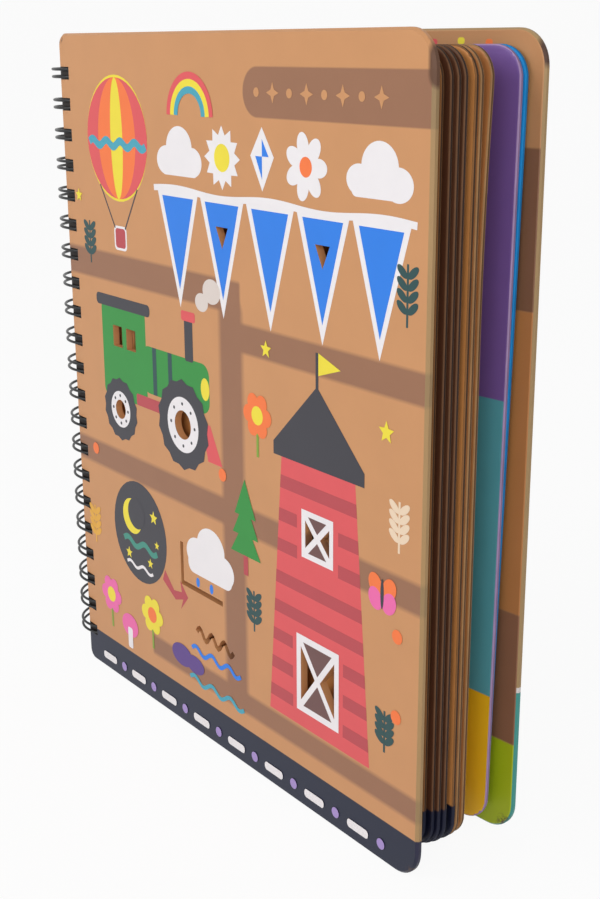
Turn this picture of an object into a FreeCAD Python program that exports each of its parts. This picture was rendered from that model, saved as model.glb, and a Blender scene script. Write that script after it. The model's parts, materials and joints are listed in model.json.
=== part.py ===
import FreeCAD, Part
import math
import os

from FreeCAD import Vector

# A large wire-bound board book that stands upright on the lower edges of its two covers,
# slightly fanned. Millimetres. X runs from the spine to the fore-edge, the front cover
# faces -Y, and +Z is up. The book is built about the axis of its ring binding, and the
# finished pieces are then moved together so that the origin is below the middle.

# Covers: wrapped board
COVER_HEIGHT = 286.0
COVER_WIDTH = 234.0
COVER_THICKNESS = 3.0
FORE_CORNER_RADIUS = 12.0
SPINE_CORNER_RADIUS = 5.0
COVER_EDGE_BEVEL = 0.9
COVER_FAN_ANGLE = 2.5            # degrees that each cover leans out from the middle plane

# Leaves: thick board, all cut to one size
LEAF_COUNT = 9
LEAF_WIDTH = 218.5
LEAF_THICKNESS = 1.6
LEAF_INSET = 5.0                 # the covers stand proud of the leaves by this at top and bottom
LEAF_CORNER_RADIUS = 11.0
BINDING_ZONE = 14.0              # width past the holes in which the leaves are held together
SPINE_GROOVE = 1.2               # depth to which the leaves' spine edges show apart
# The share of a cover's lean that each leaf takes, from the front leaf to the back leaf
LEAF_LEAN_SHARES = (-0.49, -0.51, -0.59, -0.64, -0.48, -0.51, -0.42, 1.21, 1.11)

# Twin-loop wire binding
LOOP_PITCH = 12.7
LOOP_INNER_DIAMETER = 32.0
WIRE_DIAMETER = 1.2
TWIN_SPACING = 3.1               # between the two wires of one loop
LINK_BEND = 0.9                  # the cut of a wire's corner at a tip or a link
LOOP_SIDES = 16                  # straight stretches that stand for one turn of wire
SEAM_GAP = 1.5                   # from the links of the seam to the tips, along the loop
WAVER_SHARE = 0.5                # of a straight side's height over its arc, outside the true circle
END_MARGIN = 14.0                # least distance from a cover's end to a hole's centre

# Punched holes
HOLE_SIZE = 5.0
HOLE_MARGIN = 2.0                # board left between a hole and the spine edge
HOLE_STEPS = 4                   # straight stretches by which the page holes follow the loop
WIRE_CLEARANCE = 0.12            # between the wire and a cover's hole
STACK_CLEARANCE = 0.35           # between a cover or the seam and the leaves beside it
SPINE_SETBACK = 0.2              # of the covers' spine edges from the loop's axis

# Die-cut windows in the front cover, placed from its spine edge and its lower edge
WHEEL_HUBS = (((40.0, 131.0), 4.2), ((90.0, 135.0), 6.0))
CAB_WINDOW_SIZE = (7.5, 9.0)
CAB_WINDOWS = ((40.0, 163.0), (51.0, 163.0))
SHUTTER_BAR = 2.4                # width of the crossed bars between two triangular windows
SHUTTERS = (((178.0, 56.0), (20.0, 26.0)), ((178.0, 112.0), (14.0, 14.0)))
PENNANT_CUT_SIZE = 8.0
PENNANT_CUTS = ((121.0, 213.0), (181.0, 213.0))
SLOT_WIDTH = 2.2
CORNER_SLOT = ((86.0, 84.0), (86.0, 66.0), (116.0, 66.0))
WAVE_SLOT_START = (96.0, 47.0)
WAVE_LENGTH = 9.0
WAVE_COUNT = 3
WAVE_RISE = 2.2

UP = Vector(0, 0, 1)
AXIS_FOOT = Vector(0, 0, 0)

loop_radius = (LOOP_INNER_DIAMETER + WIRE_DIAMETER) / 2
loop_count = int((COVER_HEIGHT - 2 * END_MARGIN) / LOOP_PITCH) + 1
first_hole = (COVER_HEIGHT - (loop_count - 1) * LOOP_PITCH) / 2
hole_heights = [first_hole + i * LOOP_PITCH for i in range(loop_count)]

# The seam of the binding lies between the last leaf and the back cover, so a loop starts
# at the links there, runs round the spine and through every hole, and ends at its tip.
# Its sides cut inside and outside the true circle by the same amount.


def loop_waver(span):
    """How far the straight sides of a loop lie from the true circle, each way."""
    half_turn = span / LOOP_SIDES / 2
    return loop_radius * (1 - math.cos(half_turn)) * WAVER_SHARE


channel_half = WIRE_DIAMETER / 2 + loop_waver(2 * math.pi) + WIRE_CLEARANCE
# The covers lie as far out on the loop as the board left beside a hole allows
cover_outer = math.sqrt(
    (loop_radius - channel_half) ** 2 - (HOLE_MARGIN + SPINE_SETBACK) ** 2
)
cover_inner = cover_outer - COVER_THICKNESS
fan = math.radians(COVER_FAN_ANGLE)


def loop_x(y):
    """Where the loop passes through a sheet that lies at y, on the side of the leaves."""
    return math.sqrt(loop_radius ** 2 - y ** 2)


# Where a cover's inner face lies at its nearest to the loop, leaning out by the fan
inner_reach = cover_inner / math.cos(fan) + loop_x(cover_inner) * math.tan(fan)
seam_y = inner_reach - STACK_CLEARANCE - WIRE_DIAMETER
seam_angle = math.asin(seam_y / loop_radius)
stack_back = seam_y - WIRE_DIAMETER / 2 - STACK_CLEARANCE
stack_front = -(cover_inner - STACK_CLEARANCE / 2)
leaf_pitch = (stack_back - stack_front) / LEAF_COUNT


def leaf_middle(index):
    """The y of a leaf's middle at the binding."""
    return stack_front + leaf_pitch * (index + 0.5)


def leaf_spine(index):
    """The x of a leaf's spine edge: its hole is centred on the loop."""
    return loop_x(leaf_middle(index)) - HOLE_SIZE / 2 - HOLE_MARGIN


def face_of(points):
    """A flat face from its corners."""
    return Part.Face(Part.makePolygon(list(points) + [points[0]]))


def edges_at(shape, test):
    """The edges of a shape whose middle point and direction pass a test."""
    found = []
    for edge in shape.Edges:
        start = edge.Vertexes[0].Point
        end = edge.Vertexes[-1].Point
        if test((start + end) * 0.5, end - start):
            found.append(edge)
    return found


def runs_along_y(direction):
    return abs(direction.y) > 0.9 * direction.Length > 0


def outline_point(place):
    """A point of the cover's outer face, from its spine edge and lower edge."""
    return Vector(place[0], 0, place[1])


def through_cover(face):
    """The cutter for one window: its outline carried right through the board."""
    face = face.copy()
    face.translate(Vector(0, -COVER_THICKNESS, 0))
    return face.extrude(Vector(0, 3 * COVER_THICKNESS, 0))


def round_window(centre, radius):
    circle = Part.makeCircle(radius, outline_point(centre), Vector(0, 1, 0))
    return through_cover(Part.Face(Part.Wire([circle])))


def outline_window(corners):
    return through_cover(face_of([outline_point(p) for p in corners]))


def box_corners(centre, size):
    x, z = centre
    half_w, half_h = size[0] / 2, size[1] / 2
    return (
        (x - half_w, z - half_h),
        (x + half_w, z - half_h),
        (x + half_w, z + half_h),
        (x - half_w, z + half_h),
    )


def shutter_windows(centre, size):
    """The two side triangles that crossed bars leave open in a shutter."""
    x, z = centre
    half_w, half_h = size[0] / 2, size[1] / 2
    slope = half_h / half_w
    bar = SHUTTER_BAR / 2 * math.hypot(1, slope) / slope
    cutters = []
    for side in (-1, 1):
        tip = (x + side * bar, z)
        reach = (half_w - bar) * slope
        outer = x + side * half_w
        cutters.append(outline_window((tip, (outer, z - reach), (outer, z + reach))))
    return cutters


def pennant_window(centre):
    """A triangle that points down, as in a pennant."""
    x, z = centre
    half = PENNANT_CUT_SIZE / 2
    return outline_window(((x - half, z + half), (x + half, z + half), (x, z - half)))


def slot_window(path):
    """A narrow slot of constant width with square ends, along a path of points."""
    left, right = [], []
    for i, (x, z) in enumerate(path):
        before = path[max(i - 1, 0)]
        after = path[min(i + 1, len(path) - 1)]
        into = Vector(x - before[0], 0, z - before[1]) if i else Vector(0, 0, 0)
        out = Vector(after[0] - x, 0, after[1] - z)
        if into.Length:
            into.normalize()
        if out.Length:
            out.normalize()
        along = into + out
        along.normalize()
        side = Vector(-along.z, 0, along.x)
        lean = max(along.dot(out if out.Length else into), 0.5)
        step = side * (SLOT_WIDTH / 2 / lean)
        left.append((x + step.x, z + step.z))
        right.append((x - step.x, z - step.z))
    return outline_window(left + right[::-1])


def wave_path():
    """A wavy line: a sine of a few waves, eight points to a wave."""
    points = []
    for i in range(WAVE_COUNT * 8 + 1):
        along = i / 8 * WAVE_LENGTH
        rise = WAVE_RISE * math.sin(2 * math.pi * i / 8)
        points.append((WAVE_SLOT_START[0] + along, WAVE_SLOT_START[1] + rise))
    return points


def front_windows():
    """Every die-cut opening of the front cover."""
    cutters = [round_window(centre, radius) for centre, radius in WHEEL_HUBS]
    cutters += [outline_window(box_corners(c, CAB_WINDOW_SIZE)) for c in CAB_WINDOWS]
    for centre, size in SHUTTERS:
        cutters += shutter_windows(centre, size)
    cutters += [pennant_window(centre) for centre in PENNANT_CUTS]
    cutters += [slot_window(CORNER_SLOT), slot_window(wave_path())]
    return cutters


def cover_board():
    """One cover flat, its outer face on y = 0: a board with round corners and eased edges."""
    board = Part.makeBox(COVER_WIDTH, COVER_THICKNESS, COVER_HEIGHT)
    middle = COVER_WIDTH / 2
    fore = edges_at(board, lambda at, way: runs_along_y(way) and at.x > middle)
    board = board.makeFillet(FORE_CORNER_RADIUS, fore)
    spine = edges_at(board, lambda at, way: runs_along_y(way) and at.x < SPINE_CORNER_RADIUS
                     and abs(at.x) < 1e-6)
    board = board.makeFillet(SPINE_CORNER_RADIUS, spine)
    rims = [e for e in board.Edges if e.BoundBox.YLength < 1e-6]
    return board.makeChamfer(COVER_EDGE_BEVEL, rims)


def on_loop(board):
    """A cover carried from its own place to where it hangs on the loops, closed."""
    board = board.copy()
    board.translate(Vector(SPINE_SETBACK, -cover_outer, 0))
    return board


def loop_channels():
    """The space that the loops need in a cover: a round band about their axis per hole."""
    bands = []
    for height in hole_heights:
        foot = Vector(0, 0, height - HOLE_SIZE / 2)
        outer = Part.makeCylinder(loop_radius + channel_half, HOLE_SIZE, foot)
        inner = Part.makeCylinder(loop_radius - channel_half, HOLE_SIZE, foot)
        bands.append(outer.cut(inner))
    return bands


def cover(windows):
    """A cover with its holes and windows, fanned out, on the front side."""
    board = cover_board()
    if windows:
        board = board.cut(windows)
    board = on_loop(board).cut(loop_channels())
    board.rotate(AXIS_FOOT, UP, -COVER_FAN_ANGLE)
    return board


def leaf(index):
    """One leaf past the binding: a thin board that leans by its share of the fan."""
    lean = fan * LEAF_LEAN_SHARES[index % len(LEAF_LEAN_SHARES)]
    start = zone_end - SPINE_GROOVE
    length = leaf_spine(index) + LEAF_WIDTH - start
    height = COVER_HEIGHT - 2 * LEAF_INSET
    foot = Vector(start, leaf_middle(index) - LEAF_THICKNESS / 2, LEAF_INSET)
    board = Part.makeBox(length, LEAF_THICKNESS, height, foot)
    fore = edges_at(board, lambda at, way: runs_along_y(way) and at.x > start + length / 2)
    board = board.makeFillet(LEAF_CORNER_RADIUS, fore)
    board.rotate(Vector(zone_end, leaf_middle(index), 0), UP, math.degrees(lean))
    return board


zone_end = loop_radius + HOLE_SIZE / 2 + BINDING_ZONE


def binding_zone():
    """The part of the leaves that holds them together, with a stepped spine face."""
    corners = []
    for index in range(LEAF_COUNT):
        low = leaf_middle(index) - LEAF_THICKNESS / 2
        high = low + LEAF_THICKNESS
        edge = leaf_spine(index)
        corners += [(edge, low), (edge, high)]
        if index + 1 < LEAF_COUNT:
            groove = max(edge, leaf_spine(index + 1)) + SPINE_GROOVE
            corners += [(groove, high), (groove, high + leaf_pitch - LEAF_THICKNESS)]
    back = leaf_middle(LEAF_COUNT - 1) + LEAF_THICKNESS / 2
    front = leaf_middle(0) - LEAF_THICKNESS / 2
    corners += [(zone_end, back), (zone_end, front)]
    outline = face_of([Vector(x, y, LEAF_INSET) for x, y in corners])
    return outline.extrude(Vector(0, 0, COVER_HEIGHT - 2 * LEAF_INSET))


def leaf_channels():
    """The rows of punched holes: each is as wide in every leaf, and follows the loop."""
    steps = [-cover_inner + i * 2 * cover_inner / HOLE_STEPS for i in range(HOLE_STEPS + 1)]
    left = [Vector(loop_x(y) - HOLE_SIZE / 2, y, 0) for y in steps]
    right = [Vector(loop_x(y) + HOLE_SIZE / 2, y, 0) for y in steps]
    outline = face_of(left + right[::-1])
    cutters = []
    for height in hole_heights:
        foot = outline.copy()
        foot.translate(UP * (height - HOLE_SIZE / 2))
        cutters.append(foot.extrude(UP * HOLE_SIZE))
    return cutters


def page_block():
    """All the leaves as one solid, with the holes for the wire."""
    leaves = [leaf(index) for index in range(LEAF_COUNT)]
    return binding_zone().fuse(leaves).removeSplitter().cut(leaf_channels())


def wire_route():
    """The corners of the one long wire: out and back along each loop, link after link."""
    span = 2 * math.pi - SEAM_GAP / loop_radius
    reach = loop_radius + loop_waver(span)
    turn = span / LOOP_SIDES
    route = []
    for height in hole_heights:
        low, high = height - TWIN_SPACING / 2, height + TWIN_SPACING / 2
        ring = [
            Vector(
                reach * math.cos(seam_angle + i * turn),
                reach * math.sin(seam_angle + i * turn),
                0,
            )
            for i in range(LOOP_SIDES + 1)
        ]
        after_link = ring[0] + (ring[1] - ring[0]).normalize() * LINK_BEND
        before_tip = ring[-1] + (ring[-2] - ring[-1]).normalize() * LINK_BEND
        out = [after_link] + ring[1:-1] + [before_tip]
        if height > hole_heights[0]:
            route.append(ring[0] + UP * (low - LINK_BEND))
        route += [point + UP * low for point in out]
        route += [ring[-1] + UP * (low + LINK_BEND), ring[-1] + UP * (high - LINK_BEND)]
        route += [point + UP * high for point in out[::-1]]
        if height < hole_heights[-1]:
            route.append(ring[0] + UP * (high + LINK_BEND))
    return route


def mitred_bar(route, thickness):
    """A square bar along a route of straight stretches, mitred at every corner."""
    half = thickness / 2
    along = (route[1] - route[0]).normalize()
    side = along.cross(UP).normalize()
    section = [route[0] + side * (half * a) + UP * (half * b)
               for a, b in ((-1, -1), (1, -1), (1, 1), (-1, 1))]
    faces = [face_of(section[::-1])]
    for i in range(1, len(route)):
        along = (route[i] - route[i - 1]).normalize()
        onward = (route[min(i + 1, len(route) - 1)] - route[i])
        onward = onward.normalize() if onward.Length else along
        mitre = (along + onward).normalize()
        ahead = [p + along * ((route[i] - p).dot(mitre) / along.dot(mitre)) for p in section]
        for j in range(4):
            k = (j + 1) % 4
            faces.append(face_of([section[j], section[k], ahead[k], ahead[j]]))
        section = ahead
    faces.append(face_of(section))
    shell = Part.Shell(faces)
    shell.sewShape()
    bar = Part.Solid(Part.Shell(shell.Faces))
    if bar.Volume < 0:
        bar.reverse()
    return bar


front_cover = cover(front_windows())
back_cover = cover([]).mirror(AXIS_FOOT, Vector(0, 1, 0))
pieces = {
    "front_cover": front_cover,
    "back_cover": back_cover,
    "page_block": page_block(),
    "binding_wire": mitred_bar(wire_route(), WIRE_DIAMETER),
}

# The origin goes to the middle of the book's box, at the level of the covers' lower edges
boxes = [shape.BoundBox for shape in pieces.values()]
middle_x = (min(b.XMin for b in boxes) + max(b.XMax for b in boxes)) / 2
for shape in pieces.values():
    shape.translate(Vector(-middle_x, 0, 0))

os.makedirs("parts", exist_ok=True)
for name, shape in pieces.items():
    box = shape.BoundBox
    print(f"{name}: {len(shape.Solids)} solid, valid {shape.isValid()}, {shape.Volume / 1000:.1f} cm3")
    print(f"  x {box.XMin:.2f} {box.XMax:.2f}, y {box.YMin:.2f} {box.YMax:.2f}, z {box.ZMin:.2f} {box.ZMax:.2f}")
    shape.exportStep(f"parts/{name}.step")
print(f"loop axis at x {-middle_x:.4f}, loops {loop_count}, leaf pitch {leaf_pitch:.3f}")
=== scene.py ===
# %% [markdown]
# # A wire-bound board book
#
# The book stands upright on the lower edges of its covers, a little fanned. It has two thick covers with
# die-cut windows in the front one, nine board leaves, and one long twin-loop wire down the spine.
# The CAD model is the frame: the covers are shown as they are, with board finishes and print on them,
# while the leaves and the wire are made again here, finer than the CAD has them.

# %% Load the book's frame
import json
import math
import bpy
import numpy as np
from mathutils import Matrix
from mathutils.geometry import tessellate_polygon

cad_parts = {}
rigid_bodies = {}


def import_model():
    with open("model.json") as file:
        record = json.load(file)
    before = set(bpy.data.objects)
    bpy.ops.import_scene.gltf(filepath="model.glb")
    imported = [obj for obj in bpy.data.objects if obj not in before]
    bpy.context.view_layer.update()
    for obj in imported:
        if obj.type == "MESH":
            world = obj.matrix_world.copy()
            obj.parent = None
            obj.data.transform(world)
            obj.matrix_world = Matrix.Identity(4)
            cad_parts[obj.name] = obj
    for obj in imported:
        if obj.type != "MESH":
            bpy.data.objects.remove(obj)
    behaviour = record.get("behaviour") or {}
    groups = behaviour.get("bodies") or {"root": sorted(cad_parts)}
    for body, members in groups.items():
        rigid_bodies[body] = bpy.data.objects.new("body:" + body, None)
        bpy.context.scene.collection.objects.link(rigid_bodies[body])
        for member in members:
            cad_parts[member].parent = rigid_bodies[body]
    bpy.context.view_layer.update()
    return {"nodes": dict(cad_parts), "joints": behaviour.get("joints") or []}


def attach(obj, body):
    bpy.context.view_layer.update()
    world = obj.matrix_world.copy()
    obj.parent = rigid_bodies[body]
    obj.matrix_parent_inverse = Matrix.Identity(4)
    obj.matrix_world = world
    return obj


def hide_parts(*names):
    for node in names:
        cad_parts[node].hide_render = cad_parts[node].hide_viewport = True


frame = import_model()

MM = 0.001
hinge = next(joint for joint in frame["joints"] if joint["name"] == "front_cover_hinge")
AXIS_X = hinge["pos_m"][0]
print("ring axis at x =", round(AXIS_X / MM, 3), "mm")

# %% [markdown]
# The driving sizes are the ones that the book was designed with, in millimetres. The leaves and the wire
# hang on the same circle: the ring, whose axis is also the line about which both covers turn.

# %% The book's sizes in millimetres
COVER_HEIGHT, COVER_THICKNESS = 286.0, 3.0
FAN = math.radians(2.5)
SPINE_SETBACK, COVER_OUTER = 0.2, 15.567
LEAF_WIDTH, LEAF_THICKNESS, LEAF_PITCH = 218.5, 1.6, 2.549
LEAF_LOW, LEAF_HIGH = 5.0, 281.0
LEAF_CORNER, LEAF_ROUNDING = 11.0, 0.45
LEAF_FRONT = -12.39
LEAN_SHARES = (-0.49, -0.51, -0.59, -0.64, -0.48, -0.51, -0.42, 1.21, 1.11)
BEND_LEAD, BEND_LENGTH = 2.0, 12.0
WAVER, CURL_START = 0.07, 0.66
LEAF_TWIST = (0, 0, 0, 0, 0, 0, 0, 1.7, 2.0)
LEAF_SLIDE = ((0, 0),) * 7 + ((-1.0, -1.0), (-1.0, 1.0))
TOP_CURL = (0, 0, 0.2, 0.3, 0.6, 0.8, 3.0, 0, 0)
BINDING_END = 33.1
RING_RADIUS, WIRE_THICKNESS, TWIN_GAP = 16.6, 1.2, 3.1
TURN_RADIUS, TURN_STEPS, WIRE_SIDES = 1.15, 6, 12
HOLE_SIZE, HOLE_MARGIN = 5.0, 2.0
LOOP_PITCH, LOOP_COUNT = 12.7, 21
FIRST_HOLE = (COVER_HEIGHT - (LOOP_COUNT - 1) * LOOP_PITCH) / 2
SEAM_ANGLE = math.radians(43.86)
SEAM_GAP = 1.5
hole_heights = FIRST_HOLE + LOOP_PITCH * np.arange(LOOP_COUNT)

# %% [markdown]
# Every surface here is worked out as whole arrays and then handed to Blender in one go. A mesh is made
# from its points, its faces (all with the same number of corners) and one material number per face.

# %% One mesh from arrays
def made(name, points, faces, finishes, numbers=None, smooth=True):
    """A mesh object from points in millimetres: `faces` has one row of corner numbers per face."""
    mesh = bpy.data.meshes.new(name)
    corners = faces.shape[1]
    mesh.vertices.add(len(points))
    mesh.vertices.foreach_set("co", (np.asarray(points, float) * MM).ravel())
    mesh.loops.add(faces.size)
    mesh.loops.foreach_set("vertex_index", faces.ravel().astype(np.int32))
    mesh.polygons.add(len(faces))
    mesh.polygons.foreach_set("loop_start", np.arange(len(faces), dtype=np.int32) * corners)
    if numbers is not None:
        mesh.polygons.foreach_set("material_index", np.asarray(numbers, np.int32))
    for finish in finishes:
        mesh.materials.append(finish)
    mesh.update(calc_edges=True)
    mesh.validate()
    mesh.polygons.foreach_set("use_smooth", np.full(len(mesh.polygons), smooth))
    obj = bpy.data.objects.new(name, mesh)
    bpy.context.scene.collection.objects.link(obj)
    return obj


# %% [markdown]
# Colours are written as sRGB hex codes, as a printer's swatch would be, and turned to linear light by one
# function. A second function adds a node with its settings and its links.

# %% Colour and node helpers
def linear(code):
    """sRGB to linear: c / 12.92 up to 0.04045, and ((c + 0.055) / 1.055) to the power 2.4 above it."""
    parts = np.array([int(code[i:i + 2], 16) / 255 for i in (1, 3, 5)])
    curve = np.where(parts <= 0.04045, parts / 12.92, ((parts + 0.055) / 1.055) ** 2.4)
    return (*curve.tolist(), 1.0)


def add(tree, kind, inputs=(), **settings):
    """A node of the named kind: `inputs` pairs a socket with a value or with another node's output."""
    node = tree.nodes.new(kind)
    for key, value in settings.items():
        setattr(node, key, value)
    for socket, value in inputs:
        if isinstance(value, bpy.types.NodeSocket):
            tree.links.new(value, node.inputs[socket])
        else:
            node.inputs[socket].default_value = value
    return node


def blank(name):
    """An empty material and its node tree."""
    material = bpy.data.materials.new(name)
    material.use_nodes = True
    material.node_tree.nodes.clear()
    return material, material.node_tree


def finish_with(tree, shader):
    """Ends a tree in the output node."""
    add(tree, "ShaderNodeOutputMaterial", [("Surface", shader.outputs[0])])


# %% [markdown]
# Printed board is grey board wrapped in coated paper, printed and laminated. To the eye it is a smooth,
# half-matt sheet with a soft sheen, a faint mottle, and fields of colour with soft or crisp borders.
# The fields that run right round the book, such as the foot band, belong to the board's own finish. A
# field is a rounded bar given by its box: its mask is the distance outside a smaller box, less a radius.

# %% Printed board
SHEEN = 0.3
# The second colour is painted shade: near-black for the insides of the ring holes.
BARE_BOARD, HOLE_SHADE = "#4E3322", "#1C1512"


def masked(tree, below, above, mask):
    """One colour laid over another where the mask is 1."""
    mix = add(tree, "ShaderNodeMix", [(0, mask), (6, below), (7, above)], data_type="RGBA")
    return mix.outputs[2]


def sums(tree, kind, first, second=0.0, third=0.0, clamp=False):
    """One step of arithmetic."""
    node = add(tree, "ShaderNodeMath", [(0, first), (1, second), (2, third)],
               operation=kind, use_clamp=clamp)
    return node.outputs[0]


def bar_mask(tree, across, up, box, radius, soft):
    """1 inside a rounded bar (left, right, low, high in mm), falling to 0 over `soft` mm."""
    left, right, low, high = (value * MM for value in box)
    radius, soft = radius * MM, soft * MM
    parts = []
    for place, start, end in ((across, left, right), (up, low, high)):
        middle, half = (start + end) / 2, (end - start) / 2 - radius
        beyond = sums(tree, "SUBTRACT", sums(tree, "ABSOLUTE", sums(tree, "SUBTRACT", place, middle)), half)
        outside = sums(tree, "MAXIMUM", beyond, 0.0)
        parts.append(sums(tree, "MULTIPLY", outside, outside))
    distance = sums(tree, "SQRT", sums(tree, "ADD", parts[0], parts[1]))
    return sums(tree, "DIVIDE", sums(tree, "SUBTRACT", radius + soft / 2, distance), soft, clamp=True)


def laid_fields(tree, ground, fields, across, up):
    """A ground colour with (colour, box, radius, soft) fields laid over it in turn."""
    colour = add(tree, "ShaderNodeRGB").outputs[0]
    colour.default_value = linear(ground)
    for tint, box, radius, soft in fields:
        colour = masked(tree, colour, linear(tint), bar_mask(tree, across, up, box, radius, soft))
    return colour


def printed_board(name, ground, fields=(), worn=(), turn=0.0, roughness=0.42, mottle=0.05, lining=None):
    """Laminated board: fields on a ground, worn corners and, on a cover, a lining inside and painted shade in
    the ring holes.
    The lining starts where the distance from the middle plane falls under the inner face's."""
    material, tree = blank(name)
    place = add(tree, "ShaderNodeTexCoord").outputs["Object"]
    to_axis = (-AXIS_X * math.cos(turn), -AXIS_X * math.sin(turn), 0)
    laid = add(tree, "ShaderNodeMapping", [
        ("Vector", place), ("Location", to_axis), ("Rotation", (0, 0, turn))])
    split = add(tree, "ShaderNodeSeparateXYZ", [("Vector", laid.outputs[0])])
    across, depth, up = split.outputs["X"], split.outputs["Y"], split.outputs["Z"]
    colour = laid_fields(tree, ground, fields, across, up)
    if lining:
        inside = laid_fields(tree, *lining, across, up)
        start = (COVER_OUTER - COVER_THICKNESS + 0.3) * MM
        outer = sums(tree, "GREATER_THAN", sums(tree, "ABSOLUTE", depth), start)
        colour = masked(tree, inside, colour, outer)
    blotch = add(tree, "ShaderNodeTexNoise", [("Vector", place), ("Scale", 60.0), ("Detail", 4.0)])
    shade = sums(tree, "MULTIPLY_ADD", blotch.outputs["Fac"], 2 * mottle, 1 - mottle)
    colour = add(tree, "ShaderNodeVectorMath", [(0, colour), (1, shade)], operation="MULTIPLY").outputs[0]
    crumbs = add(tree, "ShaderNodeTexNoise", [("Vector", place), ("Scale", 900.0), ("Detail", 3.0)])
    for spot_x, spot_z, size in worn:
        box = (spot_x - size, spot_x + size, spot_z - size, spot_z + size)
        near = bar_mask(tree, across, up, box, size * 0.95, size * 0.8)
        rub = sums(tree, "MULTIPLY_ADD", crumbs.outputs["Fac"], 5.0, -2.1, clamp=True)
        colour = masked(tree, colour, linear(BARE_BOARD), sums(tree, "MULTIPLY", near, rub))
    # Painted shade: the board on the wire's path through the ring holes is coloured near-black.
    if lining:
        from_ring = add(tree, "ShaderNodeVectorMath", [(0, add(
            tree, "ShaderNodeCombineXYZ", [("X", across), ("Y", depth)]).outputs[0])], operation="LENGTH")
        on_ring = sums(tree, "COMPARE", from_ring.outputs["Value"], RING_RADIUS * MM, 1.0 * MM)
        step = sums(tree, "PINGPONG", sums(tree, "SUBTRACT", up, FIRST_HOLE * MM), LOOP_PITCH / 2 * MM)
        shaded_hole = sums(tree, "LESS_THAN", step, (HOLE_SIZE / 2 + 0.1) * MM)
        from_middle = sums(tree, "ABSOLUTE", sums(tree, "SUBTRACT", up, COVER_HEIGHT / 2 * MM))
        in_row = sums(tree, "LESS_THAN", from_middle, (COVER_HEIGHT / 2 - FIRST_HOLE + HOLE_SIZE) * MM)
        shaded_hole = sums(tree, "MULTIPLY", shaded_hole, in_row)
        colour = masked(tree, colour, linear(HOLE_SHADE), sums(tree, "MULTIPLY", on_ring, shaded_hole))
    bump = add(tree, "ShaderNodeBump", [("Height", crumbs.outputs["Fac"]), ("Strength", 0.05),
                                        ("Distance", 0.1 * MM)])
    shader = add(tree, "ShaderNodeBsdfPrincipled", [
        ("Base Color", colour), ("Roughness", roughness), ("Specular IOR Level", SHEEN),
        ("Normal", bump.outputs[0])])
    finish_with(tree, shader)
    return material


inks = {}


def ink(code):
    """Printing ink under the same laminate: a plain half-matt colour, made once per hex code."""
    if code not in inks:
        material, tree = blank("ink_" + code[1:])
        place = add(tree, "ShaderNodeTexCoord").outputs["Object"]
        blotch = add(tree, "ShaderNodeTexNoise", [("Vector", place), ("Scale", 80.0), ("Detail", 3.0)])
        shade = sums(tree, "MULTIPLY_ADD", blotch.outputs["Fac"], 0.08, 0.96)
        colour = add(tree, "ShaderNodeVectorMath", [(0, linear(code)[:3]), (1, shade)],
                     operation="MULTIPLY").outputs[0]
        shader = add(tree, "ShaderNodeBsdfPrincipled", [
            ("Base Color", colour), ("Roughness", 0.42), ("Specular IOR Level", SHEEN)])
        finish_with(tree, shader)
        inks[code] = material
    return inks[code]


KRAFT, DARK_KRAFT, NAVY = "#C68F61", "#94694F", "#151B31"
WHITE, BLUE, GREEN, CHARCOAL = "#E9E5E7", "#2B7CE0", "#2F8B3C", "#3A3940"
RED, DARK_RED, YELLOW, ORANGE = "#D9565A", "#B4484F", "#EAD83E", "#F07840"
TEAL, PINK, PURPLE, PINE = "#45A0B5", "#E86AA8", "#5A3F86", "#27494A"

# %% [markdown]
# The covers keep their CAD meshes, because their windows, ring holes and eased edges are already true.
# The front cover's ground has brown bands, a navy foot band, and an olive turn-in where the wrap paper
# is folded round the fore-edge. The back cover shows its inner face, in broad brown fields over green,
# with a row of coloured dots along the top. A field that runs right across passes both edges.

# %% Dress the covers
ALL_ACROSS = (-20, 250)
front_fields = [
    (DARK_KRAFT, (136, 250, 257, 274), 8.5, 0.6),
    (DARK_KRAFT, (-20, 132, 186, 198), 1, 1.5),
    (DARK_KRAFT, (118, 133, 26, 192), 6, 3.0),
    (DARK_KRAFT, (126, 250, 172, 183), 1, 1.5),
    (DARK_KRAFT, (*ALL_ACROSS, 101, 112), 1, 2.0),
    (DARK_KRAFT, (60, 250, 24, 33), 1, 2.0),
    (NAVY, (*ALL_ACROSS, -20, 17), 1, 0.3),
    ("#98835A", (233.2, 250, 17, 300), 0.1, 0.5),
    ("#2A2740", (233.4, 250, -20, 17), 0.1, 0.5),
    ("#5F3F2B", (231.8, 250, 268, 300), 5, 1.5),
]
front_lining = (KRAFT, [
    (DARK_KRAFT, (*ALL_ACROSS, 150, 190), 1, 1.0),
    ("#B9834F", (*ALL_ACROSS, 60, 110), 1, 1.0),
])
front_board = printed_board("laminated_board_front", KRAFT, front_fields, turn=FAN, lining=front_lining,
                            worn=((232, 2.5, 3.0), (232.5, 284, 2.0), (2, 284, 2.0)))
back_fields = [
    ("#41978F", (*ALL_ACROSS, -20, 58), 1, 0.3),
    (WHITE, (*ALL_ACROSS, 58, 60), 0.1, 0.3),
    ("#4B3023", (231, 250, 274, 300), 5, 2.0),
]
back_lining = ("#BE8A5E", [
    ("#865E45", (*ALL_ACROSS, 196, 249), 1, 0.8),
    ("#BA7C48", (*ALL_ACROSS, 88, 196), 1, 0.8),
    ("#8E6248", (*ALL_ACROSS, 37, 88), 1, 0.8),
    ("#AABA18", (*ALL_ACROSS, -10, 37), 1, 0.8),
    *((tint, (x - 1.5, x + 1.5, z - 1.1, z + 1.1), 1.0, 0.3) for tint, x, z in (
        (ORANGE, 163, 281.6), (YELLOW, 175, 282), (RED, 187, 281.6), (YELLOW, 199, 282),
        (ORANGE, 211, 281.4), (YELLOW, 221, 276))),
])
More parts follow.
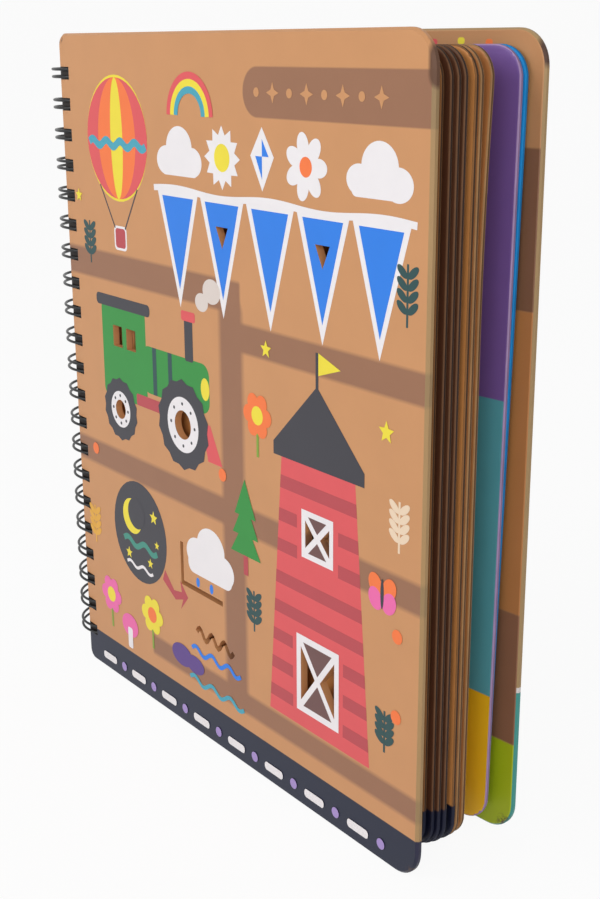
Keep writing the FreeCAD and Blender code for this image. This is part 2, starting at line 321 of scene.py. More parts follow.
back_board = printed_board("laminated_board_back", "#A88A60", back_fields, turn=-FAN, lining=back_lining,
                           worn=((232, 3, 4.0),))
for node, finish in (("front_cover", front_board), ("back_cover", back_board)):
    board = frame["nodes"][node]
    board.data.materials.clear()
    board.data.materials.append(finish)
print("covers dressed:", len(front_fields), "fields on the front,", len(back_lining[1]), "inside the back")

# %% [markdown]
# A board leaf is die-cut from thick printed board, so its edges are slightly rounded by the cut. All
# leaves are held by the rings and then lean away by their own small angle. One leaf is a grid over its
# length and height: the fore corners are squeezed onto a quarter circle, the thickness falls off to a
# round at the outline, and the cells of the punched holes are left out.

# %% The grid of one leaf
def leaf_grid():
    """Lengths from the spine edge, heights, and which cells of the grid are board."""
    rim = LEAF_ROUNDING * np.array([0.0, 0.12, 0.45, 1.0])
    near = np.concatenate([rim, [HOLE_MARGIN, HOLE_MARGIN + HOLE_SIZE, 12], np.linspace(16, 44, 8)])
    far = LEAF_WIDTH - np.concatenate([rim, [1.5, 3.5, 6.0, 8.5, LEAF_CORNER]])
    lengths = np.sort(np.concatenate([near, np.linspace(56, LEAF_WIDTH - 22, 10), far]))
    ends = np.concatenate([rim, [1.5, 3.5, 6.0, 8.5]])
    holes = np.concatenate([hole_heights - HOLE_SIZE / 2, hole_heights + HOLE_SIZE / 2])
    heights = np.sort(np.concatenate([LEAF_LOW + ends, LEAF_HIGH - ends, holes]))
    mid_length = (lengths[1:] + lengths[:-1]) / 2
    mid_height = (heights[1:] + heights[:-1]) / 2
    in_column = (mid_length > HOLE_MARGIN) & (mid_length < HOLE_MARGIN + HOLE_SIZE)
    in_row = (np.abs(mid_height[:, None] - hole_heights) < HOLE_SIZE / 2).any(1)
    return lengths, heights, ~(in_column[:, None] & in_row[None, :])


def squeezed(lengths, heights):
    """Grid points with the fore corners rounded, and each point's distance from the outline.
    In a corner square with u and v from 0 to 1: u' = u sqrt(1 - v^2 / 2), v' = v sqrt(1 - u^2 / 2)."""
    length, height = np.meshgrid(lengths, heights, indexing="ij")
    middle, half = (LEAF_LOW + LEAF_HIGH) / 2, (LEAF_HIGH - LEAF_LOW) / 2
    side, rise = np.sign(height - middle), np.abs(height - middle)
    u = np.clip((length - (LEAF_WIDTH - LEAF_CORNER)) / LEAF_CORNER, 0, 1)
    v = np.clip((rise - (half - LEAF_CORNER)) / LEAF_CORNER, 0, 1)
    length = length + LEAF_CORNER * u * (np.sqrt(1 - v * v / 2) - 1)
    rise = rise + LEAF_CORNER * v * (np.sqrt(1 - u * u / 2) - 1)
    to_edge = np.minimum(np.minimum(LEAF_WIDTH - length, half - rise), length)
    past_x, past_z = length - (LEAF_WIDTH - LEAF_CORNER), rise - (half - LEAF_CORNER)
    to_arc = LEAF_CORNER - np.hypot(past_x, past_z)
    to_edge = np.where((past_x > 0) & (past_z > 0), to_arc, to_edge)
    return length, middle + side * rise, np.clip(to_edge, 0, None)


# %% [markdown]
# The two faces of a leaf are the same grid set off to both sides of its middle surface, which is straight
# in the binding and bends over into its lean past it. Walls close the outline and every hole.

# %% A whole leaf
def walls(keep, front, back):
    """Quads that close a pair of grids wherever a kept cell borders on one left out."""
    quads = []
    padded = np.pad(keep, 1).astype(int)
    step = np.diff(padded, axis=0)[:, 1:-1]
    i, j = np.nonzero(step)
    low, high = np.where(step[i, j] > 0, j, j + 1), np.where(step[i, j] > 0, j + 1, j)
    quads.append(np.stack([front[i, low], back[i, low], back[i, high], front[i, high]], 1))
    step = np.diff(padded, axis=1)[1:-1]
    i, j = np.nonzero(step)
    low, high = np.where(step[i, j] > 0, i + 1, i), np.where(step[i, j] > 0, i, i + 1)
    quads.append(np.stack([front[low, j], back[low, j], back[high, j], front[high, j]], 1))
    return np.concatenate(quads)


def leaf_board(index, finishes):
    """One leaf, leaning by angle a(s) = lean * smoothstep((s - start) / bend), with s from the spine:
    x and y of its middle are the running sums of cos a and sin a. Half its thickness at a distance d
    from the outline is T / 2 - r + sqrt(r^2 - (r - d)^2) for d under the rounding r. A leaf that stands
    free is also twisted a little, curls at its top, or hangs in or out by its slack on the wire. The
    finishes are its face, its rim, lighter as a painted highlight, and its cut edge."""
    lengths, heights, keep = leaf_grid()
    length, height, to_edge = squeezed(lengths, heights)
    y_middle = LEAF_FRONT + LEAF_PITCH * (index + 0.5)
    spine = math.sqrt(RING_RADIUS ** 2 - y_middle ** 2) - HOLE_SIZE / 2 - HOLE_MARGIN
    fine = np.linspace(0, LEAF_WIDTH, 2000)
    turn = np.clip((fine - (BINDING_END - spine) + BEND_LEAD) / BEND_LENGTH, 0, 1)
    angle = FAN * LEAN_SHARES[index] * turn * turn * (3 - 2 * turn)
    step = fine[1] - fine[0]
    run = np.concatenate([[0], np.cumsum(np.cos(angle[1:]) * step)])
    drift = np.concatenate([[0], np.cumsum(np.sin(angle[1:]) * step)])
    share = length / LEAF_WIDTH
    rise = (height - LEAF_LOW) / (LEAF_HIGH - LEAF_LOW)
    curl = np.clip((rise - CURL_START) / (1 - CURL_START), 0, 1) ** 2
    foot_slide, top_slide = LEAF_SLIDE[index]
    slide = foot_slide + (top_slide - foot_slide) * rise
    ripple = WAVER * np.sin(2.2 * math.pi * rise + 1.9 * index)
    warp = share ** 2 * (ripple + LEAF_TWIST[index] * (2 * rise - 1) + TOP_CURL[index] * curl)
    middle_x, middle_y = np.interp(length, fine, run), np.interp(length, fine, drift) + warp
    lean = np.interp(length, fine, angle)
    inset = LEAF_ROUNDING - np.minimum(to_edge, LEAF_ROUNDING)
    half = LEAF_THICKNESS / 2 - LEAF_ROUNDING + np.sqrt(LEAF_ROUNDING ** 2 - inset ** 2)
    layers = []
    for side in (-1, 1):
        x = AXIS_X / MM + spine + slide + middle_x - side * half * np.sin(lean)
        y = y_middle + middle_y + side * half * np.cos(lean)
        layers.append(np.stack([x, y, height], -1).reshape(-1, 3))
    numbers = np.arange(length.size).reshape(length.shape)
    front, back = numbers, numbers + length.size
    i, j = np.nonzero(keep)
    front_quads = np.stack([front[i, j], front[i + 1, j], front[i + 1, j + 1], front[i, j + 1]], 1)
    back_quads = np.stack([back[i, j], back[i, j + 1], back[i + 1, j + 1], back[i + 1, j]], 1)
    side_quads = walls(keep, front, back)
    cell_edge = to_edge[:-1, :-1][i, j] + to_edge[1:, 1:][i, j] < 1.5 * LEAF_ROUNDING
    slots = np.concatenate([cell_edge, cell_edge, np.full(len(side_quads), 2)]).astype(int)
    leaf = made(f"leaf_{index + 1:02d}", np.concatenate(layers),
                np.concatenate([front_quads, back_quads, side_quads]), finishes, slots)
    leaf.data.set_sharp_from_angle(angle=math.radians(50))
    return leaf


# %% [markdown]
# The leaves' edges show brown print and bare board. Each has a lighter rim where the cut rounds it over,
# which is a painted highlight. The front five carry a navy foot, and their cut edges are darkened by painted
# shade. Their faces are kraft and brown. The eighth leaf, which leans back with the rear cover, shows
# fields of purple, teal and yellow, and the ninth is bright blue.

# %% Nine leaves
NAVY_FOOT = [("#0F1329", (*ALL_ACROSS, -20, 22), 1, 0.6)]


def leaf_finishes(name, face, rim, edge, fields=(), foot=()):
    """The three finishes of a leaf: printed face, rounded rim lighter as a painted highlight, and cut edge in
    board colour with painted shade.
    """
    return [printed_board(name + "_face", face, [*fields, *foot]),
            printed_board(name + "_rim_highlight", rim, foot, mottle=0.3, roughness=0.7),
            printed_board(name + "_cut_edge_and_shade", edge, foot, mottle=0.35, roughness=0.8)]


# Painted light: each rim is lighter than its cut edge as a painted highlight on the rounded edge. The cut
# edges of the front five leaves are near-black: board colour deepened with painted shade.
orange_leaf = leaf_finishes("kraft_leaf", "#CC8A4E", "#8A5E34", "#3A2617", foot=NAVY_FOOT)
brown_leaf = leaf_finishes("brown_leaf", "#5A3826", "#6E4C32", "#271811", foot=NAVY_FOOT)
tan_leaf = leaf_finishes("tan_leaf", "#BA7E4A", "#A27A50", "#5A4029")
purple_leaf = leaf_finishes("purple_leaf", "#76589C", "#A58AB4", "#8C7496", [
    ("#56A0AC", (*ALL_ACROSS, 57, 166), 1, 0.4), ("#EEBA1E", (*ALL_ACROSS, -20, 57), 1, 0.4)])
blue_leaf = leaf_finishes("blue_leaf", "#0E84C8", "#0E84C8", "#1176B4")
leaves = [orange_leaf, brown_leaf, brown_leaf, brown_leaf, orange_leaf, tan_leaf, tan_leaf, purple_leaf,
          blue_leaf]
for index, finishes in enumerate(leaves):
    leaf = leaf_board(index, finishes)
    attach(leaf, "pages")
    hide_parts("page_block")

# %% [markdown]
# The binding is one continuous wire, nylon-coated steel 1.2 mm thick. It runs out along a
# loop, turns back at the tip, returns beside itself, and steps on to the next loop through a short link.
# All of it lies on one cylinder, so a path of angle and height describes it, and the cylinder's radius at
# each point is always square to the wire: that gives the tube its section without any twist.

# %% The twin-loop wire
def loop_path():
    """Arc length along the cylinder and height of one loop, from the link below it to the one above.
    Each bend is a quarter circle of radius b."""
    b = TURN_RADIUS
    start, end = SEAM_ANGLE * RING_RADIUS, (SEAM_ANGLE + 2 * math.pi) * RING_RADIUS - SEAM_GAP
    half = TWIN_GAP / 2
    quarter = np.linspace(0, math.pi / 2, TURN_STEPS + 1)
    inner = np.linspace(0, 1, 49)[1:-1]
    arcs = [
        (start + b * (1 - np.cos(quarter)), -half - b + b * np.sin(quarter)),
        (start + b + (end - start - 2 * b) * inner, np.full_like(inner, -half)),
        (end - b + b * np.sin(quarter), -half + b - b * np.cos(quarter)),
        (end - b + b * np.cos(quarter), half - b + b * np.sin(quarter)),
        (end - b - (end - start - 2 * b) * inner, np.full_like(inner, half)),
        (start + b - b * np.sin(quarter), half + b - b * np.cos(quarter)),
    ]
    return np.concatenate([a for a, _ in arcs]), np.concatenate([z for _, z in arcs])


def wire_tube(name, finish):
    """A tube of radius r about a path on the cylinder: each section is r (cos t R + sin t S), with R the
    cylinder's radius there and S square to R and the path. The first and the last quarter turn are cut
    off, where the wire ends."""
    along, height = loop_path()
    along = np.tile(along, LOOP_COUNT)
    height = (hole_heights[:, None] + height[None, :]).ravel()
    along, height = along[TURN_STEPS:-TURN_STEPS], height[TURN_STEPS:-TURN_STEPS]
    theta = along / RING_RADIUS
    radial = np.stack([np.cos(theta), np.sin(theta), np.zeros_like(theta)], 1)
    centre = RING_RADIUS * radial
    centre[:, 2] = height
    tangent = np.gradient(centre, axis=0)
    tangent -= (tangent * radial).sum(1, keepdims=True) * radial
    tangent /= np.linalg.norm(tangent, axis=1, keepdims=True)
    across = np.cross(tangent, radial)
    t = np.linspace(0, 2 * math.pi, WIRE_SIDES, endpoint=False)
    ring = np.cos(t)[None, :, None] * radial[:, None] + np.sin(t)[None, :, None] * across[:, None]
    points = centre[:, None] + WIRE_THICKNESS / 2 * ring
    points[..., 0] += AXIS_X / MM
    count, sides = points.shape[:2]
    grid = np.arange(count * sides).reshape(count, sides)
    this, onward = grid[:-1], grid[1:]
    quads = np.stack([this, onward, np.roll(onward, -1, 1), np.roll(this, -1, 1)], -1).reshape(-1, 4)
    ends = []
    for row, way in ((0, 1), (-1, -1)):
        hub = grid[row][::way]
        ends += [[hub[0], hub[k], hub[k + 1], hub[k + 2]] for k in range(1, sides - 2, 2)]
    quads = np.concatenate([quads, np.array(ends)])
    return made(name, points.reshape(-1, 3), quads, [finish])


def coated_wire():
    """Nylon-coated wire: near-black, with a glossy skin that catches narrow lights."""
    material, tree = blank("nylon_coated_wire")
    finish_with(tree, add(tree, "ShaderNodeBsdfPrincipled", [
        ("Base Color", linear("#0E1013")), ("Roughness", 0.34), ("Specular IOR Level", 0.32),
        ("Coat Weight", 0.12), ("Coat Roughness", 0.12)]))
    return material


wire = wire_tube("twin_loop_wire", coated_wire())
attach(wire, "pages")
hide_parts("binding_wire")
print("wire:", len(wire.data.polygons), "faces")

# %% [markdown]
# The print on the front cover is laid down as thin films of ink, some tenths of a millimetre over the
# board at most, so that every border is crisp and the pictures keep their place when the cover turns. A
# shape is an outline in the cover's own millimetres: x from the spine edge and z from the lower edge. Shapes
# that surround a die-cut window carry the window's outline as a hole.

# %% Outlines
def oval(x, z, wide, high=None, turn=0.0, count=40):
    """An ellipse with half-axes `wide` and `high`, turned by an angle in degrees."""
    high = wide if high is None else high
    t = np.linspace(0, 2 * math.pi, count, endpoint=False)
    return turned(np.stack([wide * np.cos(t), high * np.sin(t)], 1), turn) + (x, z)


def turned(points, degrees):
    """Points turned about the origin."""
    a = math.radians(degrees)
    return points @ np.array([[math.cos(a), math.sin(a)], [-math.sin(a), math.cos(a)]])


def block(left, right, low, high, radius=0.0):
    """A rectangle with round corners: quarter circles at the corners of the inner rectangle."""
    if not radius:
        return np.array([(left, low), (right, low), (right, high), (left, high)], float)
    t = np.linspace(0, math.pi / 2, 7)
    corners = ((right - radius, high - radius, 0), (left + radius, high - radius, 1),
               (left + radius, low + radius, 2), (right - radius, low + radius, 3))
    arcs = [np.stack([x + radius * np.cos(t + k * math.pi / 2), z + radius * np.sin(t + k * math.pi / 2)], 1)
            for x, z, k in corners]
    return np.concatenate(arcs)


def shape(*corners):
    """Any outline by its corners."""
    return np.array(corners, float)


def star(x, z, radius, points=5, inner=0.45, turn=90.0):
    """A star: its corners lie on two circles in turn."""
    t = np.linspace(0, 2 * math.pi, 2 * points, endpoint=False)
    r = np.where(np.arange(2 * points) % 2, radius * inner, radius)
    return turned(np.stack([r * np.cos(t), r * np.sin(t)], 1), turn) + (x, z)


def ribbon(path, width):
    """A line of constant width: the path set off by half the width along its normals."""
    path = np.asarray(path, float)
    way = np.gradient(path, axis=0)
    way /= np.linalg.norm(way, axis=1, keepdims=True)
    side = np.stack([-way[:, 1], way[:, 0]], 1) * width / 2
    return np.concatenate([path + side, (path - side)[::-1]])


def wave(x, z, length, rise, turns, width, count=49):
    """A sine as a ribbon."""
    t = np.linspace(0, 1, count)
    return ribbon(np.stack([x + length * t, z + rise * np.sin(2 * math.pi * turns * t)], 1), width)


# %% [markdown]
# A film's outline is cut into triangles, and its points are carried onto the cover: turned by the fan
# angle about the ring axis, at a height over the board that grows with each layer, and by a hair with
# each film, so that no two films lie in one plane.

# %% Lay the ink
FILM, STEP = 0.02, 0.0015


def on_cover(points, proud):
    """Cover millimetres to the book's: (x + setback, -outer - proud), turned by -fan about the ring axis."""
    x, y = points[:, 0] + SPINE_SETBACK, -COVER_OUTER - proud
    cos, sin = math.cos(FAN), math.sin(FAN)
    return np.stack([x * cos + y * sin + AXIS_X / MM, -x * sin + y * cos, points[:, 1]], 1)


def printed(name, films):
    """One printed picture: films are (colour, layer, outline, holes...), from the board outwards."""
    points, triangles, numbers, colours, total = [], [], [], [], 0
    for order, (colour, layer, outline, *holes) in enumerate(films):
        loops = [outline, *holes]
        flat = [[(x, z, 0.0) for x, z in loop] for loop in loops]
        found = np.array(tessellate_polygon(flat))
        together = np.concatenate(loops)
        a, b, c = (together[found[:, k]] for k in range(3))
        area = (b[:, 0] - a[:, 0]) * (c[:, 1] - a[:, 1]) - (b[:, 1] - a[:, 1]) * (c[:, 0] - a[:, 0])
        found[area < 0] = found[area < 0][:, ::-1]
        if colour not in colours:
            colours.append(colour)
        points.append(on_cover(together, FILM * layer + STEP * order))
        triangles.append(found + total)
        numbers.append(np.full(len(found), colours.index(colour)))
        total += len(together)
    film = made(name, np.concatenate(points), np.concatenate(triangles), [ink(c) for c in colours],
                np.concatenate(numbers), smooth=False)
    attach(film, "front_cover")
    print(name + ":", len(films), "films,", total, "points")


# %% [markdown]
# The die-cut windows, as the cover has them: round wheel hubs, two cab panes, side triangles of the
# crossed shutters, two pennants and two slots. The slots need no print of their own.

# %% The windows
HUB_SMALL, HUB_LARGE = (40.0, 131.0, 4.2), (90.0, 135.0, 6.0)
PANES = [block(x - 3.75, x + 3.75, 158.5, 167.5) for x in (40.0, 51.0)]
PENNANTS = [(121.0, 213.0), (181.0, 213.0)]
pennant_cuts = [shape((x - 4, z + 4), (x, z - 4), (x + 4, z + 4)) for x, z in PENNANTS]


def shutter_cuts(x, z, wide, high, bar=2.4):
    """The two side triangles between crossed bars."""
    slope = high / wide
    tip = bar / 2 * math.hypot(1, slope) / slope
    reach = (wide / 2 - tip) * slope
    return [shape((x + s * tip, z), (x + s * wide / 2, z - reach), (x + s * wide / 2, z + reach))
            for s in (-1, 1)]


def crossed_shutter(x, z, wide, high, frame_width, layer):
    """White bars round four triangles: the side ones are cut through, the upper and lower are dark print."""
    half_w, half_h = wide / 2, high / 2
    cuts = shutter_cuts(x, z, wide, high)
    slope = half_w / half_h
    tip = 1.2 * math.hypot(1, slope) / slope
    reach = (half_h - tip) * slope
    films = [(WHITE, layer, block(x - half_w - frame_width, x + half_w + frame_width,
                                  z - half_h - frame_width, z + half_h + frame_width), *cuts)]
    for s in (-1, 1):
        films.append(("#6A4A48", layer + 1, shape(
            (x, z + s * tip), (x - reach, z + s * half_h), (x + reach, z + s * half_h))))
    return films


# %% [markdown]
# The pictures are a plain set, all from ovals, blocks, stars and ribbons. First come a balloon, whose
# gores are slices between two half ovals, and a line of pennants under a row of white sky shapes.

# %% Balloon and pennants
def gore(x, z, radius, low, high):
    """A slice of a balloon between two shares of its half-width, as two half ovals."""
    t = np.linspace(-math.pi / 2, math.pi / 2, 24)
    left = np.stack([x + low * radius * np.cos(t), z + radius * np.sin(t)], 1)
    right = np.stack([x + high * radius * np.cos(t), z + radius * np.sin(t)], 1)
    return np.concatenate([left, right[::-1][1:-1]])


balloon = [(YELLOW, 1, oval(46, 245, 24, 25)), (WHITE, 1, block(41, 51, 200, 210, 2)),
           (DARK_RED, 2, block(42, 50, 201, 209, 1.5))]
balloon += [(ORANGE, 2, gore(46, 245, 24, a, b)) for a, b in ((-0.62, -0.2), (0.2, 0.62))]
balloon += [(RED, 2, gore(46, 245, 24, a, b)) for a, b in ((-0.999, -0.62), (0.62, 0.999))]
balloon += [(CHARCOAL, 1, ribbon([(46 + s * 15, 226), (46 + s * 4, 209)], 0.8)) for s in (-1, 1)]
balloon += [(TEAL, 3, wave(23.5, 243, 45, 1.2, 4, 3.2))]
printed("print_balloon", balloon)

pennants = []
for index in range(5):
    x, low = 91 + 30 * index, 189.0
    cuts = [cut for cut, (cx, _) in zip(pennant_cuts, PENNANTS) if cx == x]
    pennants.append((WHITE, 1, shape((x - 14.5, 228), (x, low - 6), (x + 14.5, 228)), *cuts))
    pennants.append((BLUE, 2, shape((x - 11, 225.5), (x, low + 1), (x + 11, 225.5)), *cuts))
pennants.append((WHITE, 3, wave(74, 228, 154, 0.8, 2.5, 2.4, 80)))
pennants += [(WHITE, 1, oval(x, z, wide, high)) for x, z, wide, high in (
    (84, 239, 7, 5.5), (93, 244, 9, 8), (102, 239, 6.5, 5.5), (200, 240, 6.5, 5), (210, 244.5, 9, 8),
    (219, 239.5, 7, 5.5))]
pennants += [(WHITE, 1, block(80, 106, 233.5, 240, 3)), (WHITE, 1, block(196, 223, 234.5, 240, 2.5))]
pennants += [(WHITE, 1, star(122, 242, 11.5, 12, 0.72)), (YELLOW, 2, oval(122, 242, 5))]
pennants += [(WHITE, 1, shape((147, 254), (154, 244), (147, 232), (140, 244))),
             (BLUE, 2, shape((147, 250), (151, 244), (147, 244))),
             (BLUE, 2, shape((147, 244), (147, 236), (143, 244)))]
pennants += [(WHITE, 1, oval(172 + 7 * math.cos(a), 242 + 7 * math.sin(a), 4.6, 3.2, math.degrees(a)))
             for a in np.linspace(0, 2 * math.pi, 7, endpoint=False)]
pennants.append((ORANGE, 2, oval(172, 242, 3.4)))
pennants += [(KRAFT, 1, star(144 + 9.5 * k, 265.5, 3.6, 4, 0.4) if k % 2 else oval(144 + 9.5 * k, 265.5, 1.6))
             for k in range(8)]
printed("print_pennants", pennants)

# %% [markdown]
# The engine stands round the cover's own openings: the two panes are its cab windows, and its wheels are
# printed about the two round hubs. A tyre's blunt treads are a star whose two circles lie close together.

# %% The engine
def wheel(x, z, radius, hub, cut, bolts):
    """A tyre with blunt treads round a pale hub with dark bolts, and the die-cut in its middle."""
    hole = oval(x, z, cut)
    films = [(CHARCOAL, 3, star(x, z, radius, 14, 0.93), hole), (WHITE, 4, oval(x, z, hub), hole)]
    t = np.linspace(0, 2 * math.pi, bolts, endpoint=False)
    ring = (hub + cut) / 2
    films += [(CHARCOAL, 5, oval(x + ring * math.cos(a), z + ring * math.sin(a), 0.7, count=12)) for a in t]
    return films


engine = [
    (GREEN, 1, block(27, 63, 136, 177, 3), *PANES),
    (CHARCOAL, 2, block(23, 67, 175, 180, 2)),
    (GREEN, 1, block(60, 110, 143, 163, 5)),
    (CHARCOAL, 1, block(93, 99, 162, 180, 1)),
    (RED, 2, block(91, 101, 178, 182, 1)),
    (YELLOW, 2, oval(107, 153, 3, 4.5)),
    (PINE, 2, block(68, 71, 143, 163)),
    (PINE, 2, block(80, 83, 143, 163)),
    (RED, 1, shape((108, 124), (118, 124), (110, 139), (104, 139))),
    (DARK_RED, 2, block(54, 74, 136, 141, 1)),
]
engine += [("#D9CDC6", 1, oval(x, z, r, r * 0.8)) for x, z, r in ((106, 187, 4.5), (113, 192, 6))]
engine += wheel(*HUB_SMALL[:2], 14, 8, HUB_SMALL[2], 8)
engine += wheel(*HUB_LARGE[:2], 19, 11.5, HUB_LARGE[2], 8)
printed("print_engine", engine)

# %% [markdown]
# The tower carries both crossed shutters. Its courses of darker red follow the slope of its walls, and
# they are left out beside the shutters, where the openings are.

# %% The striped tower
door, window = (178.0, 56.0, 20.0, 26.0), (178.0, 112.0, 14.0, 14.0)
window_cuts = shutter_cuts(*window)
door_cuts = shutter_cuts(*door)
tower_wall = shape((148, 34), (208, 34), (199, 140), (157, 140))
tower = [(RED, 1, tower_wall, *door_cuts, *window_cuts)]
for low in (76, 88, 126):
    share = [(z - 34) / 106 for z in (low, low + 5)]
    tower.append((DARK_RED, 2, shape((148 + 9 * share[0], low), (208 - 9 * share[0], low),
                                     (208 - 9 * share[1], low + 5), (148 + 9 * share[1], low + 5))))
for s in (-1, 1):
    for low in (40, 52, 64, 101, 113):
        near = 15 if low < 76 else 12
        outer = 30 - 9 * (low - 34) / 106
        tower.append((DARK_RED, 2, shape((178 + s * near, low), (178 + s * outer, low),
                                         (178 + s * (outer - 0.4), low + 5), (178 + s * near, low + 5))))
tower += [(CHARCOAL, 2, shape((152, 138), (204, 138), (204, 143), (178, 168), (152, 143))),
          (CHARCOAL, 1, block(177.2, 178.8, 166, 180)),
          (YELLOW, 2, shape((178.8, 180), (178.8, 172), (191, 176)))]
tower += crossed_shutter(*door, 2.6, 3) + crossed_shutter(*window, 2.2, 3)
printed("print_tower", tower)

# %% [markdown]
# Small things fill the rest of the cover, as they do on such books: a night disc, a cloud, flowers,
# sprigs, a tree, a rainbow and a butterfly, with waves at the two slots and dashes along the foot band.

# %% Night disc, cloud, plants and foot band
sky = [(CHARCOAL, 2, oval(52, 78, 22, 23)), (YELLOW, 3, oval(46, 84, 8)), (CHARCOAL, 4, oval(49.5, 86, 7))]
sky += [(YELLOW, 3, star(x, z, r)) for x, z, r in ((64, 88, 3.2), (60, 66, 2.4), (42, 66, 2.8), (66, 76, 2))]
sky += [("#3E8C7C", 3, wave(38, 72, 28, 1.4, 2, 2.6)), (WHITE, 3, wave(40, 61.5, 22, 1, 2, 1.4))]
sky += [(DARK_RED, 1, shape((70, 62), (80, 56), (86, 58), (84, 53), (90, 60), (84, 66), (85, 61), (79, 60),
                            (72, 67)))]
cloud = [(WHITE, 1, oval(x, z, r, r * 0.86)) for x, z, r in ((98, 82, 8), (108, 87, 10), (117, 80, 7.5))]
cloud += [(WHITE, 1, block(91, 123, 73, 82, 4))]
cloud += [(BLUE, 1, oval(x, z, 1.3, 2.1)) for x, z in ((98, 69.6), (108, 69.8))]
printed("print_sky", sky + cloud)


def sprig(x, z, tall, colour, pairs=4):
    """A stem with pairs of small leaves."""
    films = [(colour, 1, block(x - 0.5, x + 0.5, z, z + tall))]
    for k in range(pairs):
        level = z + tall * (0.25 + 0.75 * k / pairs)
        for s in (-1, 1):
            films.append((colour, 2, oval(x + s * 2.6, level + 1.2, 3.0, 1.4, turn=s * 38, count=18)))
    return films


plants = sprig(224, 196, 20, PINE) + sprig(138, 62, 17, PINE) + sprig(222, 120, 18, "#E7CFB4")
plants += sprig(20, 192, 18, PINE) + sprig(12, 62, 18, "#E2A93F") + sprig(216, 44, 16, PINE)
for x, z, petal, centre in ((24, 40, PINK, YELLOW), (60, 42, YELLOW, ORANGE), (142, 150, ORANGE, YELLOW)):
    plants.append(("#7FA03A", 1, block(x - 0.7, x + 0.7, z - 16, z)))
    plants += [(petal, 2, oval(x + 5.5 * math.cos(a), z + 5.5 * math.sin(a), 3.4, count=20))
               for a in np.linspace(0, 2 * math.pi, 6, endpoint=False)]
    plants.append((centre, 3, oval(x, z, 3.6)))
arch = np.linspace(0, math.pi, 30)
plants += [(tint, 1, ribbon(np.stack([101 + r * np.cos(arch), 256 + r * np.sin(arch)], 1), 2.6))
           for tint, r in ((RED, 14.5), (YELLOW, 11.9), (TEAL, 9.3))]
plants += [(DARK_RED, 1, block(131.5, 134.5, 84, 94))]
plants += [(GREEN, 2, shape((133 - w, z), (133 + w, z), (133, z + 15)))
           for z, w in ((92, 10), (100, 8.5), (108, 7))]
plants += [(tint, 2, oval(214 + s * 3.6, 103 + lift, 3.4, 4.2, turn=-s * 30))
           for tint, lift in ((ORANGE, 2.6), (PINK, -2.6)) for s in (-1, 1)]
plants += [(CHARCOAL, 3, oval(214, 103, 0.9, 5.5))]
plants += [(PURPLE, 1, oval(84, 32, 8, 5)), (PURPLE, 1, oval(94, 31, 7, 4)), (PINK, 1, oval(40, 30, 7, 5.5)),
           (WHITE, 1, block(38, 42, 19, 29, 1))]
plants += [(BLUE, 1, wave(92, 38.5, 36, 1.5, 3, 1.8)), (TEAL, 1, wave(90, 24.5, 40, 1.5, 3, 1.8))]
plants += [(YELLOW, 1, star(x, z, r)) for x, z, r in ((215, 160, 4), (148, 176, 3.4), (12, 220, 3))]
plants += [(ORANGE, 1, oval(x, z, 2.6)) for x, z in ((222, 90), (118, 121), (16, 108), (222, 60))]
plants += [(WHITE, 3, block(14 + 26 * k, 26 + 26 * k, 5, 8.5, 1.5)) for k in range(8)]
plants += [("#A48CC8", 3, oval(33 + 26 * k, 7, 2.1)) for k in range(8)]
printed("print_plants", plants)
pictures = [obj.data for obj in bpy.data.objects if obj.name.startswith("print_")]
print("front cover print:", sum(len(mesh.polygons) for mesh in pictures), "triangles in", len(inks), "inks")

# %% [markdown]
# The studio is a pale sweep: a floor that rises behind the book in a quarter circle, lit by a broad soft
# sky and two softboxes, one to each side of the camera. Together they give a plain level, at which a
# colour renders about as it is written. The floor and the sky are seen as white, whatever light they give.

# %% The studio
CAMERA_YAW, CAMERA_PITCH, CAMERA_ROLL = -50.55, 16.66, -0.283
CAMERA_PLACE = np.array([0.4152, -0.3157, 0.28105])
FOCAL_PIXELS, PICTURE_HEIGHT, SENSOR = 1353.06, 899, 36.0
BOOK_MIDDLE = 0.14
SKY_LIGHT, FLOOR_WHITE = 0.36, 0.93


def sweep():
    """Along the view, s metres past the start of the bend: out by R sin a and up by R (1 - cos a)."""
    yaw = math.radians(CAMERA_YAW)
    ahead, side = np.array([math.sin(yaw), math.cos(yaw)]), np.array([math.cos(yaw), -math.sin(yaw)])
    near, start, radius = -3000.0, 1500.0, 1500.0
    wall, half_width = 2500, 4500
    a = np.linspace(0, math.pi / 2, 24)
    out = np.concatenate([[near], start + radius * np.sin(a), [start + radius]])
    up = np.concatenate([[0], radius * (1 - np.cos(a)), [radius + wall]])
    span = np.linspace(-half_width, half_width, 9)
    flat = out[:, None, None] * ahead + span[None, :, None] * side
    points = np.concatenate([flat, np.broadcast_to(up[:, None, None], flat.shape[:2] + (1,))], -1)
    rows, columns = points.shape[:2]
    grid = np.arange(rows * columns).reshape(rows, columns)
    quads = np.stack([grid[:-1, :-1], grid[:-1, 1:], grid[1:, 1:], grid[1:, :-1]], -1).reshape(-1, 4)
    return points.reshape(-1, 3), quads


def seen_white(tree, lit, share):
    """Paint or sky that the camera and gloss see as mostly pure white; the rest keeps the book's shadow."""
    ray = add(tree, "ShaderNodeLightPath")
    seen = sums(tree, "MAXIMUM", ray.outputs["Is Camera Ray"], ray.outputs["Is Glossy Ray"])
    white = add(tree, "ShaderNodeEmission", [("Color", linear("#FFFFFF")), ("Strength", 1.0)])
    return add(tree, "ShaderNodeMixShader", [(0, sums(tree, "MULTIPLY", seen, share)), (1, lit.outputs[0]),
                                             (2, white.outputs[0])])


def floor_paint():
    """Matt white studio paint."""
    material, tree = blank("matt_white_sweep")
    paint = add(tree, "ShaderNodeBsdfPrincipled", [
        ("Base Color", linear("#F8F8F8")), ("Roughness", 0.9), ("Specular IOR Level", 0.1)])
    finish_with(tree, seen_white(tree, paint, FLOOR_WHITE))
    return material


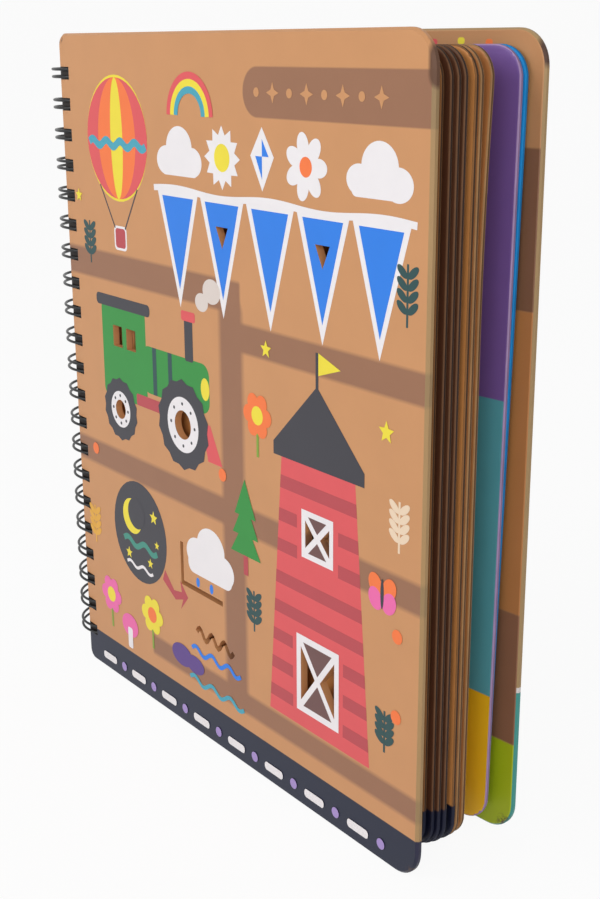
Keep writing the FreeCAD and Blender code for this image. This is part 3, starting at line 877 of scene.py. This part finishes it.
made("studio_sweep", *sweep(), [floor_paint()])

def soft_sky():
    """An even white sky: a weak light on the book, and plain white where it is seen or mirrored."""
    sky = bpy.data.worlds.new("soft_sky")
    sky.use_nodes = True
    tree = sky.node_tree
    tree.nodes.clear()
    light = add(tree, "ShaderNodeBackground", [("Color", linear("#FFFFFF")), ("Strength", SKY_LIGHT)])
    mixed = seen_white(tree, light, 1.0)
    add(tree, "ShaderNodeOutputWorld", [("Surface", mixed.outputs[0])])
    return sky


bpy.context.scene.world = soft_sky()


def lamp(name, place, size, watts):
    """A square softbox that faces the book's middle."""
    light = bpy.data.lights.new(name, "AREA")
    light.size, light.energy = size, watts
    obj = bpy.data.objects.new(name, light)
    bpy.context.scene.collection.objects.link(obj)
    away = np.array(place) - np.array([0, 0, BOOK_MIDDLE])
    obj.location = place
    obj.rotation_euler = (math.acos(away[2] / np.linalg.norm(away)), 0,
                          math.atan2(away[1], away[0]) + math.pi / 2)


lamp("softbox_left", (-0.35, -1.4, 0.9), 0.9, 10)
lamp("softbox_right", (1.15, -1.0, 0.7), 1.3, 10)
print("studio:", len(bpy.data.lights), "softboxes over a white sweep")

# %% [markdown]
# The camera stands where the photograph was taken from: its place, its angles and its focal length in
# pixels were fitted to the corners of both covers.

# %% The camera
def stand_camera():
    """A camera from its place and three angles: ahead, right and up are its axes."""
    yaw, pitch, roll = (math.radians(v) for v in (CAMERA_YAW, CAMERA_PITCH, CAMERA_ROLL))
    ahead = np.array([math.sin(yaw) * math.cos(pitch), math.cos(yaw) * math.cos(pitch), -math.sin(pitch)])
    level = np.array([math.cos(yaw), -math.sin(yaw), 0])
    above = np.cross(level, ahead)
    right = math.cos(roll) * level + math.sin(roll) * above
    up = -math.sin(roll) * level + math.cos(roll) * above
    data = bpy.data.cameras.new("photo_camera")
    data.sensor_fit, data.sensor_height = "VERTICAL", SENSOR
    data.lens = FOCAL_PIXELS / PICTURE_HEIGHT * SENSOR
    data.clip_start = 0.01
    camera = bpy.data.objects.new("photo_camera", data)
    bpy.context.scene.collection.objects.link(camera)
    matrix = np.eye(4)
    matrix[:3, :3] = np.stack([right, up, -ahead], 1)
    matrix[:3, 3] = CAMERA_PLACE
    camera.matrix_world = Matrix(matrix.tolist())
    bpy.context.scene.camera = camera


stand_camera()
bpy.context.scene.view_settings.view_transform = "Standard"
print("lens:", round(bpy.context.scene.camera.data.lens, 2), "mm on a sensor", SENSOR, "mm high")
